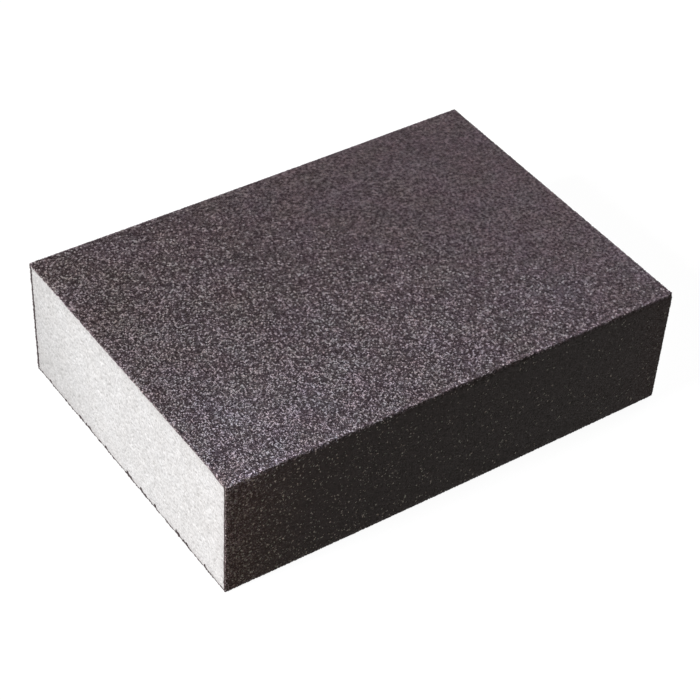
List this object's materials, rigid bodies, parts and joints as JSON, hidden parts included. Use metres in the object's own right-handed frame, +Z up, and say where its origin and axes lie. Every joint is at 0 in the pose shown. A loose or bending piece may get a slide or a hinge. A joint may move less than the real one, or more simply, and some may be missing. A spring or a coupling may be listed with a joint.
{
  "type": "sanding sponge",
  "caption": "Rectangular foam sanding block with dark abrasive grit on its long faces and bare pale foam at both cut ends, for sanding by hand.",
  "frame": {"origin": "centre of the bottom abrasive face, on the surface that the block lies on", "axes": "+X along the length, from one bare cut end to the other; +Y across the width; +Z up, out of the upper abrasive face"},
  "size_m": [0.098, 0.0694, 0.0264],
  "materials": {
    "foam": "matte",
    "abrasive": "matte"
  },
  "bodies": {
    "root": {"foam_core": "foam", "abrasive_coat": "abrasive"}
  },
  "joints": []
}
